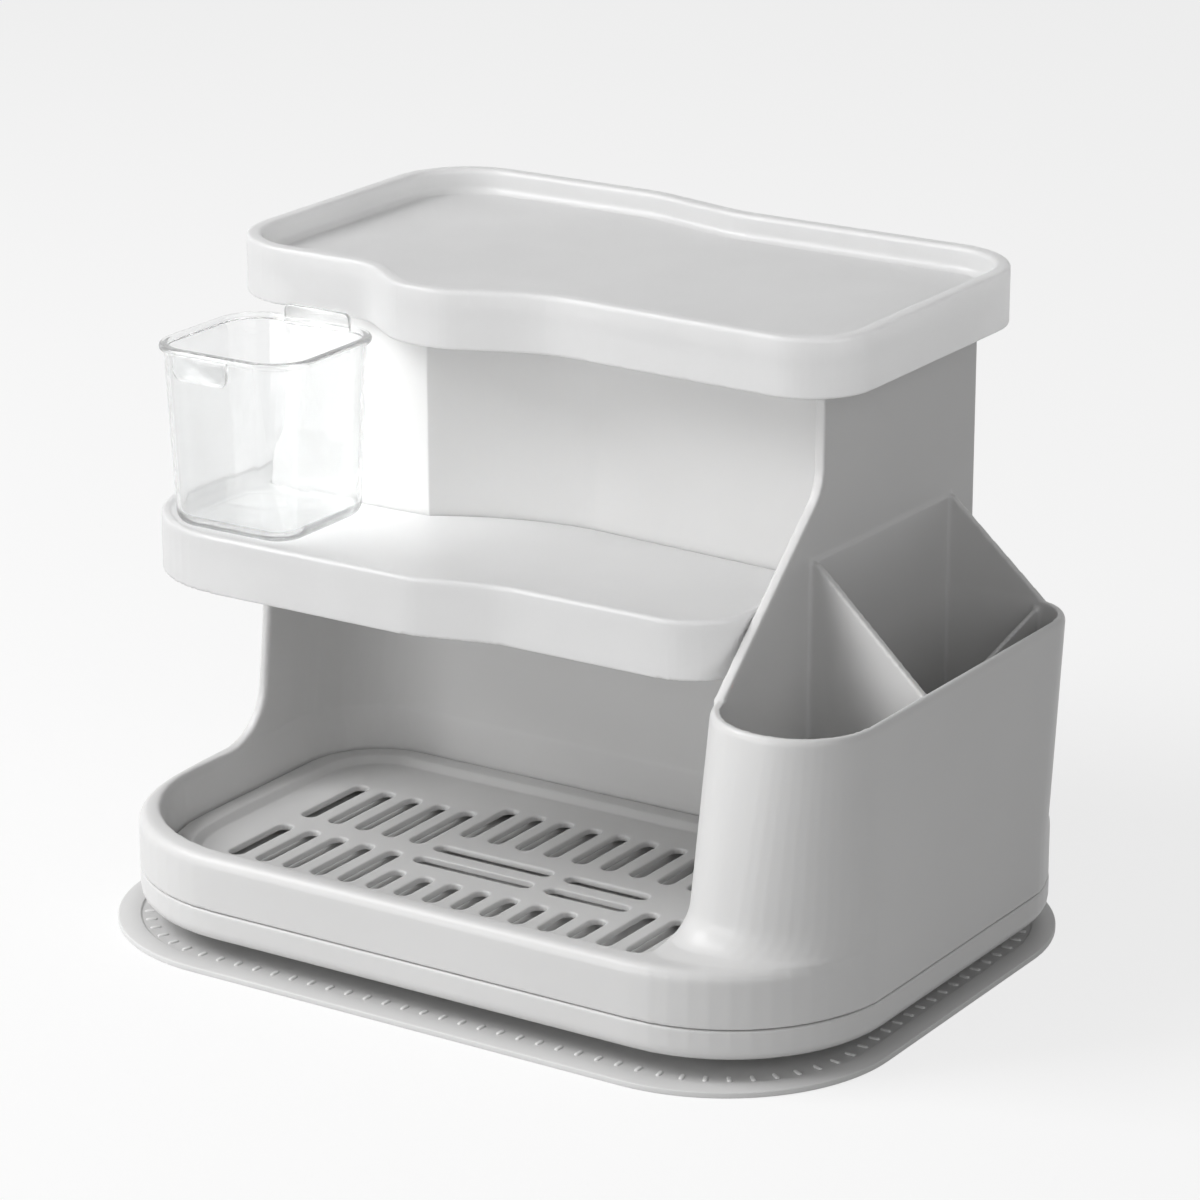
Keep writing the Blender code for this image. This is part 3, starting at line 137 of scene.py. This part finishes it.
# Floor and light
FLOOR_REACH = 6
FLOOR_ALBEDO = 0.62
FLOOR_SEEN_ALBEDO = 0.98
FLOOR_GLOW = 0.76
WORLD_STRENGTH = 0.22
KEY_POWER = 29
FRONT_POWER = 12
SIDE_POWER = 6
TRAY_POWER = 18
LIGHT_AIM = (0, 0, 0.1)
TRAY_LIGHT_AIM = (0, 0, 0.2)


def new_material(name):
    made = bpy.data.materials.new(name)
    made.use_nodes = True
    nodes, links = made.node_tree.nodes, made.node_tree.links
    return made, nodes, links, nodes["Principled BSDF"]


def grain(nodes, links, shader, scale, strength, distance):
    """Fine moulding texture: a bump from noise in object coordinates."""
    place = nodes.new("ShaderNodeTexCoord")
    noise = nodes.new("ShaderNodeTexNoise")
    noise.inputs["Scale"].default_value = scale
    noise.inputs["Detail"].default_value = 3
    bump = nodes.new("ShaderNodeBump")
    bump.inputs["Strength"].default_value = strength
    bump.inputs["Distance"].default_value = distance
    links.new(place.outputs["Object"], noise.inputs["Vector"])
    links.new(noise.outputs["Fac"], bump.inputs["Height"])
    links.new(bump.outputs["Normal"], shader.inputs["Normal"])


def tinted(nodes, links, shader, scale, tones):
    """Gives the shader a colour that drifts a little between two tones."""
    dark, light = tones
    place = nodes.new("ShaderNodeTexCoord")
    noise = nodes.new("ShaderNodeTexNoise")
    noise.inputs["Scale"].default_value = scale
    ramp = nodes.new("ShaderNodeValToRGB")
    ramp.color_ramp.elements[0].position = 0.35
    ramp.color_ramp.elements[0].color = (*dark, 1)
    ramp.color_ramp.elements[1].position = 0.65
    ramp.color_ramp.elements[1].color = (*light, 1)
    links.new(place.outputs["Object"], noise.inputs["Vector"])
    links.new(noise.outputs["Fac"], ramp.inputs["Fac"])
    links.new(ramp.outputs["Color"], shader.inputs["Base Color"])


def satin_plastic(name, tones, roughness):
    made, nodes, links, shader = new_material(name)
    tinted(nodes, links, shader, scale=14, tones=tones)
    shader.inputs["Roughness"].default_value = roughness
    shader.inputs["IOR"].default_value = 1.46
    shader.inputs["Subsurface Weight"].default_value = 0.08
    shader.inputs["Subsurface Radius"].default_value = (1.0, 0.9, 0.8)
    shader.inputs["Subsurface Scale"].default_value = 2 * MM
    grain(nodes, links, shader, scale=1400, strength=0.08, distance=0.05 * MM)
    return made


def frosted_plastic(name):
    made, nodes, links, shader = new_material(name)
    tinted(nodes, links, shader, scale=20, tones=TRAY_TONES)
    shader.inputs["Roughness"].default_value = 0.34
    shader.inputs["IOR"].default_value = 1.46
    shader.inputs["Transmission Weight"].default_value = 0.3
    shader.inputs["Subsurface Weight"].default_value = 0.4
    shader.inputs["Subsurface Radius"].default_value = (1.0, 1.0, 1.0)
    shader.inputs["Subsurface Scale"].default_value = 4 * MM
    grain(nodes, links, shader, scale=1700, strength=0.08, distance=0.04 * MM)
    return made


def clear_plastic(name):
    """Glass-like plastic that also lets a share of every ray straight through, and all shadow rays."""
    made, nodes, links, shader = new_material(name)
    tinted(nodes, links, shader, scale=30, tones=CUP_TONES)
    shader.inputs["Roughness"].default_value = 0.02
    shader.inputs["IOR"].default_value = 1.49
    shader.inputs["Transmission Weight"].default_value = 1
    path = nodes.new("ShaderNodeLightPath")
    share = nodes.new("ShaderNodeMapRange")
    share.inputs["To Min"].default_value = CUP_CLEARNESS
    share.inputs["To Max"].default_value = 1
    clear = nodes.new("ShaderNodeBsdfTransparent")
    clear.inputs["Color"].default_value = CUP_PASSING_TONE
    mix = nodes.new("ShaderNodeMixShader")
    links.new(path.outputs["Is Shadow Ray"], share.inputs["Value"])
    links.new(share.outputs["Result"], mix.inputs["Fac"])
    links.new(shader.outputs["BSDF"], mix.inputs[1])
    links.new(clear.outputs["BSDF"], mix.inputs[2])
    links.new(mix.outputs["Shader"], nodes["Material Output"].inputs["Surface"])
    return made


def silicone(name, tones):
    made, nodes, links, shader = new_material(name)
    tinted(nodes, links, shader, scale=18, tones=tones)
    shader.inputs["Roughness"].default_value = 0.5
    shader.inputs["IOR"].default_value = 1.41
    grain(nodes, links, shader, scale=1200, strength=0.1, distance=0.06 * MM)
    return made


def rubber(name):
    made, nodes, links, shader = new_material(name)
    tinted(nodes, links, shader, scale=60, tones=RUBBER_TONES)
    shader.inputs["Roughness"].default_value = 0.75
    grain(nodes, links, shader, scale=900, strength=0.2, distance=0.1 * MM)
    return made


def steel(name):
    made, nodes, links, shader = new_material(name)
    tinted(nodes, links, shader, scale=90, tones=STEEL_TONES)
    shader.inputs["Metallic"].default_value = 1
    shader.inputs["Roughness"].default_value = 0.3
    grain(nodes, links, shader, scale=2400, strength=0.1, distance=0.04 * MM)
    return made


def dress(node, look):
    piece = frame["nodes"][node]
    piece.data.materials.clear()
    piece.data.materials.append(look)


def soften(node, voxel, passes, share):
    """Rounds a CAD node's edges as moulding does: a fine voxel mesh, smoothed, then thinned out."""
    piece = frame["nodes"][node]
    weld = piece.modifiers.new("weld", "WELD")
    weld.merge_threshold = WELD_DISTANCE
    remesh = piece.modifiers.new("remesh", "REMESH")
    remesh.mode = "VOXEL"
    remesh.voxel_size = voxel
    remesh.use_smooth_shade = True
    smooth = piece.modifiers.new("smooth", "SMOOTH")
    smooth.factor = 0.5
    smooth.iterations = passes
    thin = piece.modifiers.new("thin", "DECIMATE")
    thin.ratio = share
    normals = piece.modifiers.new("normals", "WEIGHTED_NORMAL")
    normals.keep_sharp = False


def turns(start, sweep, steps):
    """Angles in radians from start over sweep, which are in degrees."""
    return [math.radians(start + sweep * k / steps) for k in range(steps + 1)]


def rounded_rectangle(x0, y0, x1, y1, radius, steps):
    """Closed plan line with round corners, from the front right corner round to the front left."""
    corners = [
        (x1 - radius, y0 + radius, -90),
        (x1 - radius, y1 - radius, 0),
        (x0 + radius, y1 - radius, 90),
        (x0 + radius, y0 + radius, 180),
    ]
    line = []
    for cx, cy, start in corners:
        for angle in turns(start, 90, steps):
            line.append((cx + radius * math.cos(angle), cy + radius * math.sin(angle)))
    return line


def level(line, z):
    return [(x, y, z) for x, y in line]


def add_rings(bm, rings):
    """Closed surface through rings of equally many points, with a flat face on the first and the last."""
    rows = [[bm.verts.new(point) for point in ring] for ring in rings]
    for low, high in zip(rows, rows[1:]):
        for i in range(len(low)):
            bm.faces.new((low[i - 1], low[i], high[i], high[i - 1]))
    bm.faces.new(rows[0])
    bm.faces.new(rows[-1])


def smooth_piece(name, bm, look):
    """Makes a smooth-shaded object of the mesh under work, and frees that."""
    bmesh.ops.recalc_face_normals(bm, faces=bm.faces)
    mesh = bpy.data.meshes.new(name)
    bm.to_mesh(mesh)
    bm.free()
    mesh.materials.append(look)
    mesh.shade_smooth()
    made = bpy.data.objects.new(name, mesh)
    bpy.context.collection.objects.link(made)
    return made


def skin(name, rings, look, sharp):
    """Smooth piece through rings, with sharp edges where faces meet at more than the angle sharp."""
    bm = bmesh.new()
    add_rings(bm, rings)
    made = smooth_piece(name, bm, look)
    made.data.set_sharp_from_angle(angle=math.radians(sharp))
    return made


def join(target, tool, sharp):
    """Merges the tool's solid into the target's."""
    modifier = target.modifiers.new("join", "BOOLEAN")
    modifier.operation = "UNION"
    modifier.solver = "EXACT"
    modifier.object = tool
    joined = target.evaluated_get(bpy.context.evaluated_depsgraph_get())
    mesh = bpy.data.meshes.new_from_object(joined)
    target.modifiers.clear()
    target.data = mesh
    bpy.data.objects.remove(tool, do_unlink=True)
    mesh.shade_smooth()
    mesh.set_sharp_from_angle(angle=math.radians(sharp))


def mat_line(inset, steps):
    low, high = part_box("anti_slip_mat")
    x0, y0, x1, y1 = low.x + inset, low.y + inset, high.x - inset, high.y - inset
    return rounded_rectangle(x0, y0, x1, y1, MAT_RADIUS - inset, steps)


def mat_sheet(look):
    """The mat with its raised border, whose edges are rounded."""
    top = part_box("anti_slip_mat")[1].z
    radius = MAT_EDGE_ROUNDING
    profile = []
    for turn in turns(0, 90, EDGE_STEPS):
        profile.append((radius * (1 - math.sin(turn)), radius * (1 - math.cos(turn))))
    for turn in turns(0, 90, EDGE_STEPS):
        profile.append((radius * (1 - math.cos(turn)), top - radius * (1 - math.sin(turn))))
    rise = top - MAT_TOP
    for k in range(MAT_EDGE_STEPS + 1):
        share = k / MAT_EDGE_STEPS
        fall = (1 - math.cos(math.pi * share)) / 2
        profile.append((MAT_EDGE_WIDTH + MAT_EDGE_SLOPE * (share - 0.5), top - rise * fall))
    rings = [level(mat_line(inset, MAT_CORNER_STEPS), z) for inset, z in profile]
    made = skin("mat_sheet", rings, look, MAT_SHARP)
    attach(made, "mat")
    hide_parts("anti_slip_mat")


def tick_places():
    """Evenly spaced places along the mat's border, with the direction across it."""
    points = [Vector(place) for place in mat_line(TICK_INSET, TICK_PATH_STEPS)]
    steps = [(b - a).length for a, b in zip(points, points[1:] + points[:1])]
    total = sum(steps)
    count = round(total / TICK_PITCH)
    places = []
    travelled, wanted = 0.0, 0.0
    for i, a in enumerate(points):
        b = points[(i + 1) % len(points)]
        while wanted < travelled + steps[i] and len(places) < count:
            along = (b - a).normalized()
            place = a.lerp(b, (wanted - travelled) / steps[i])
            places.append((place, math.atan2(-along.x, along.y)))
            wanted += total / count
        travelled += steps[i]
    return places


def tick_rings(place, angle):
    """Outlines of a raised tick with round ends and a soft top, lying across the mat's edge."""
    half = TICK_LENGTH / 2 - TICK_WIDTH / 2
    turn = Matrix.Rotation(angle, 3, "Z")
    rings = []
    for share, rise in TICK_RINGS:
        radius = share * TICK_WIDTH / 2
        ring = []
        for side, start in ((1, -90), (-1, 90)):
            for bend in turns(start, 180, TICK_END_STEPS):
                point = turn @ Vector((side * half + radius * math.cos(bend), radius * math.sin(bend), 0))
                ring.append((place.x + point.x, place.y + point.y, MAT_TOP + rise * TICK_HEIGHT))
        rings.append(ring)
    return rings


def mat_ticks(look):
    bm = bmesh.new()
    for place, angle in tick_places():
        add_rings(bm, tick_rings(place, angle))
    made = smooth_piece("mat_ticks", bm, look)
    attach(made, "mat")


def cup_line(distance):
    x = CUP_WIDTH / 2 - CUP_LIP + distance
    y = CUP_DEPTH / 2 - CUP_LIP + distance
    return rounded_rectangle(-x, -y, x, y, CUP_CORNER - CUP_LIP + distance, CUP_CORNER_STEPS)


def cup_profile():
    """The cup's section from its foot, over the rim and down to its floor, as (distance, height)."""
    foot, inside, edge = CUP_FOOT_ROUNDING, CUP_INSIDE_ROUNDING, CUP_INNER_EDGE
    lip_bottom = CUP_HEIGHT - CUP_LIP_HEIGHT
    lip = CUP_LIP_HEIGHT / 2
    section = []
    for angle in turns(0, 90, CUP_CURVE_STEPS):
        distance = -CUP_TAPER - foot * (1 - math.sin(angle))
        section.append((distance, foot * (1 - math.cos(angle))))
    below = lip_bottom - CUP_LIP
    section.append((-CUP_TAPER * (1 - below / CUP_HEIGHT), below))
    for angle in turns(-90, 180, CUP_CURVE_STEPS):
        distance = CUP_LIP - lip * (1 - math.cos(angle))
        section.append((distance, lip_bottom + lip + lip * math.sin(angle)))
    for angle in turns(0, 90, EDGE_STEPS):
        distance = edge - CUP_WALL - edge * math.sin(angle)
        section.append((distance, CUP_HEIGHT - edge * (1 - math.cos(angle))))
    for angle in turns(90, -90, CUP_CURVE_STEPS):
        distance = -CUP_TAPER - CUP_WALL - inside * (1 - math.sin(angle))
        section.append((distance, CUP_FLOOR + inside * (1 - math.cos(angle))))
    return section


def tab(sides, heights, depths, radii, look):
    """Upright plate with rounded edges, and one corner radius each for the lower and the upper pair."""
    (x0, x1), (z0, z1), (y0, y1) = sides, heights, depths
    low_radius, high_radius = radii
    edge = CUP_TAB_ROUNDING
    bevel = [(0, edge), (0.3 * edge, 0.3 * edge), (edge, 0)]
    layers = [(y0 + step, inset) for step, inset in bevel]
    layers += [(y1 - step, inset) for step, inset in bevel[::-1]]
    corners = [
        (x1 - low_radius, z0 + low_radius, low_radius, -90),
        (x1 - high_radius, z1 - high_radius, high_radius, 0),
        (x0 + high_radius, z1 - high_radius, high_radius, 90),
        (x0 + low_radius, z0 + low_radius, low_radius, 180),
    ]
    rings = []
    for y, inset in layers:
        ring = []
        for cx, cz, radius, start in corners:
            reach = radius - inset
            for angle in turns(start, 90, CUP_TAB_STEPS):
                ring.append((cx + reach * math.cos(angle), y, cz + reach * math.sin(angle)))
        rings.append(ring)
    return skin("tab", rings, look, TAB_SHARP)


def back_tab(look):
    """The tab that stands up behind the cup's rim."""
    sides = (CUP_TAB_SHIFT - CUP_TAB_WIDTH / 2, CUP_TAB_SHIFT + CUP_TAB_WIDTH / 2)
    heights = (CUP_HEIGHT - CUP_LIP_HEIGHT, CUP_HEIGHT + CUP_TAB_RISE)
    back = CUP_DEPTH / 2 - CUP_TAB_INSET
    return tab(sides, heights, (back - CUP_TAB_THICKNESS, back), (CUP_TAB_ROUNDING, CUP_TAB_RADIUS), look)


def front_tab(look):
    """The tab that hangs below the cup's rim."""
    left = CUP_FRONT_TAB_SHIFT - CUP_FRONT_TAB_WIDTH / 2
    rim = CUP_HEIGHT - CUP_LIP_HEIGHT
    heights = (rim - CUP_FRONT_TAB_DROP, rim + CUP_LIP_HEIGHT / 2)
    front, half = -CUP_DEPTH / 2, CUP_TAB_THICKNESS / 2
    depths = (front - half, front + half)
    radii = (CUP_FRONT_TAB_RADIUS, CUP_TAB_ROUNDING)
    return tab((left, left + CUP_FRONT_TAB_WIDTH), heights, depths, radii, look)


def cup(look):
    """The clear cup with smooth walls, in the place of its faceted solid."""
    low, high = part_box("clear_cup")
    rings = [level(cup_line(distance), z) for distance, z in cup_profile()]
    made = skin("cup_shell", rings, look, CUP_SHARP)
    join(made, back_tab(look), CUP_SHARP)
    join(made, front_tab(look), CUP_SHARP)
    made.location = ((low.x + high.x) / 2, high.y - CUP_DEPTH / 2, low.z)
    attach(made, "cup")
    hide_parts("clear_cup")


def look_at(thing, place, aim):
    thing.location = place
    thing.rotation_mode = "QUATERNION"
    thing.rotation_quaternion = (Vector(aim) - Vector(place)).to_track_quat("-Z", "Y")


def place_camera():
    data = bpy.data.cameras.new("camera")
    data.lens = LENS
    data.sensor_width = SENSOR
    data.clip_start = CLIP_START
    data.clip_end = CLIP_END
    camera = bpy.data.objects.new("camera", data)
    bpy.context.collection.objects.link(camera)
    look_at(camera, CAMERA_PLACE, CAMERA_AIM)
    bpy.context.scene.camera = camera


def area_light(name, place, aim, size, power):
    data = bpy.data.lights.new(name, "AREA")
    data.shape = "RECTANGLE"
    data.size, data.size_y = size
    data.energy = power
    light = bpy.data.objects.new(name, data)
    bpy.context.collection.objects.link(light)
    look_at(light, place, aim)
    return light


def seen_straight(nodes, links):
    """1 for camera, glossy and transmitted rays, 0 for the rest."""
    path = nodes.new("ShaderNodeLightPath")
    first = nodes.new("ShaderNodeMath")
    first.operation = "MAXIMUM"
    second = nodes.new("ShaderNodeMath")
    second.operation = "MAXIMUM"
    links.new(path.outputs["Is Camera Ray"], first.inputs[0])
    links.new(path.outputs["Is Glossy Ray"], first.inputs[1])
    links.new(first.outputs["Value"], second.inputs[0])
    links.new(path.outputs["Is Transmission Ray"], second.inputs[1])
    return second.outputs["Value"]


def floor_paper():
    """White paper that takes shadows; rays that see it straight see it lighter, with a glow."""
    look = bpy.data.materials.new("floor_paper")
    look.use_nodes = True
    nodes, links = look.node_tree.nodes, look.node_tree.links
    nodes.remove(nodes["Principled BSDF"])
    paper = nodes.new("ShaderNodeBsdfDiffuse")
    tone = nodes.new("ShaderNodeMapRange")
    tone.inputs["To Min"].default_value = FLOOR_ALBEDO
    tone.inputs["To Max"].default_value = FLOOR_SEEN_ALBEDO
    glow = nodes.new("ShaderNodeEmission")
    glow.inputs["Color"].default_value = WHITE
    glow.inputs["Strength"].default_value = 1
    share = nodes.new("ShaderNodeMath")
    share.operation = "MULTIPLY"
    share.inputs[1].default_value = FLOOR_GLOW
    mix = nodes.new("ShaderNodeMixShader")
    seen = seen_straight(nodes, links)
    links.new(seen, tone.inputs["Value"])
    links.new(tone.outputs["Result"], paper.inputs["Color"])
    links.new(seen, share.inputs[0])
    links.new(share.outputs["Value"], mix.inputs["Fac"])
    links.new(paper.outputs["BSDF"], mix.inputs[1])
    links.new(glow.outputs["Emission"], mix.inputs[2])
    links.new(mix.outputs["Shader"], nodes["Material Output"].inputs["Surface"])
    return look


def floor():
    mesh = bpy.data.meshes.new("floor")
    reach = FLOOR_REACH
    corners = [(-reach, -reach, 0), (reach, -reach, 0), (reach, reach, 0), (-reach, reach, 0)]
    mesh.from_pydata(corners, [], [(0, 1, 2, 3)])
    made = bpy.data.objects.new("floor", mesh)
    bpy.context.collection.objects.link(made)
    mesh.materials.append(floor_paper())


def world():
    """Even dim light all round, with a white background for the rays that see it straight."""
    made = bpy.data.worlds.new("studio")
    bpy.context.scene.world = made
    made.use_nodes = True
    nodes, links = made.node_tree.nodes, made.node_tree.links
    nodes.clear()
    output = nodes.new("ShaderNodeOutputWorld")
    lit = nodes.new("ShaderNodeBackground")
    lit.inputs["Color"].default_value = WHITE
    lit.inputs["Strength"].default_value = WORLD_STRENGTH
    shown = nodes.new("ShaderNodeBackground")
    shown.inputs["Color"].default_value = BACKDROP
    shown.inputs["Strength"].default_value = 1
    mix = nodes.new("ShaderNodeMixShader")
    links.new(seen_straight(nodes, links), mix.inputs["Fac"])
    links.new(lit.outputs["Background"], mix.inputs[1])
    links.new(shown.outputs["Background"], mix.inputs[2])
    links.new(mix.outputs["Shader"], output.inputs["Surface"])


def lights():
    """Key from the left, fills from the front and right, and a light that falls on the two trays alone."""
    area_light("key", (-1.25, -0.85, 1.45), LIGHT_AIM, size=(1.1, 1.1), power=KEY_POWER)
    area_light("front", (-0.9, -1.8, 0.45), LIGHT_AIM, size=(1.2, 0.8), power=FRONT_POWER)
    area_light("side", (1.6, -1.2, 0.9), LIGHT_AIM, size=(1.5, 1.5), power=SIDE_POWER)
    trays = area_light("trays", (1.9, -0.5, 0.5), TRAY_LIGHT_AIM, size=(1.5, 1.5), power=TRAY_POWER)
    lit_trays = bpy.data.collections.new("lit_trays")
    for node in ("middle_tray", "top_tray"):
        lit_trays.objects.link(frame["nodes"][node])
    trays.light_linking.receiver_collection = lit_trays


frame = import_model()

frosted_look = frosted_plastic("frosted_plastic_look")
rubber_look = rubber("foot_rubber_look")
steel_look = steel("screw_steel_look")

dress("body_shell", satin_plastic("body_plastic_look", BODY_TONES, roughness=0.36))
dress("drip_pan", satin_plastic("pan_plastic_look", BODY_TONES, roughness=0.36))
dress("drain_grille", satin_plastic("grille_plastic_look", GRILLE_TONES, roughness=0.4))
dress("middle_tray", frosted_look)
dress("top_tray", frosted_look)
for node in frame["nodes"]:
    if node.startswith("foot_"):
        dress(node, rubber_look)
        soften(node, voxel=0.35 * MM, passes=2, share=0.3)
    if node.startswith("pan_screw_"):
        dress(node, steel_look)
        soften(node, voxel=0.2 * MM, passes=1, share=0.3)

soften("body_shell", voxel=0.7 * MM, passes=3, share=0.12)
soften("drain_grille", voxel=0.5 * MM, passes=4, share=0.2)
soften("drip_pan", voxel=0.65 * MM, passes=1, share=0.12)
soften("middle_tray", voxel=0.6 * MM, passes=2, share=0.2)
soften("top_tray", voxel=0.6 * MM, passes=2, share=0.2)

mat_sheet(silicone("mat_silicone_look", MAT_TONES))
# Ticks in a lighter tone than the mat: a painted highlight on the raised ticks
mat_ticks(silicone("mat_tick_highlight_look", TICK_HIGHLIGHT_TONES))
cup(clear_plastic("clear_plastic_look"))
place_camera()
floor()
world()
lights()
bpy.context.scene.view_settings.view_transform = "Standard"
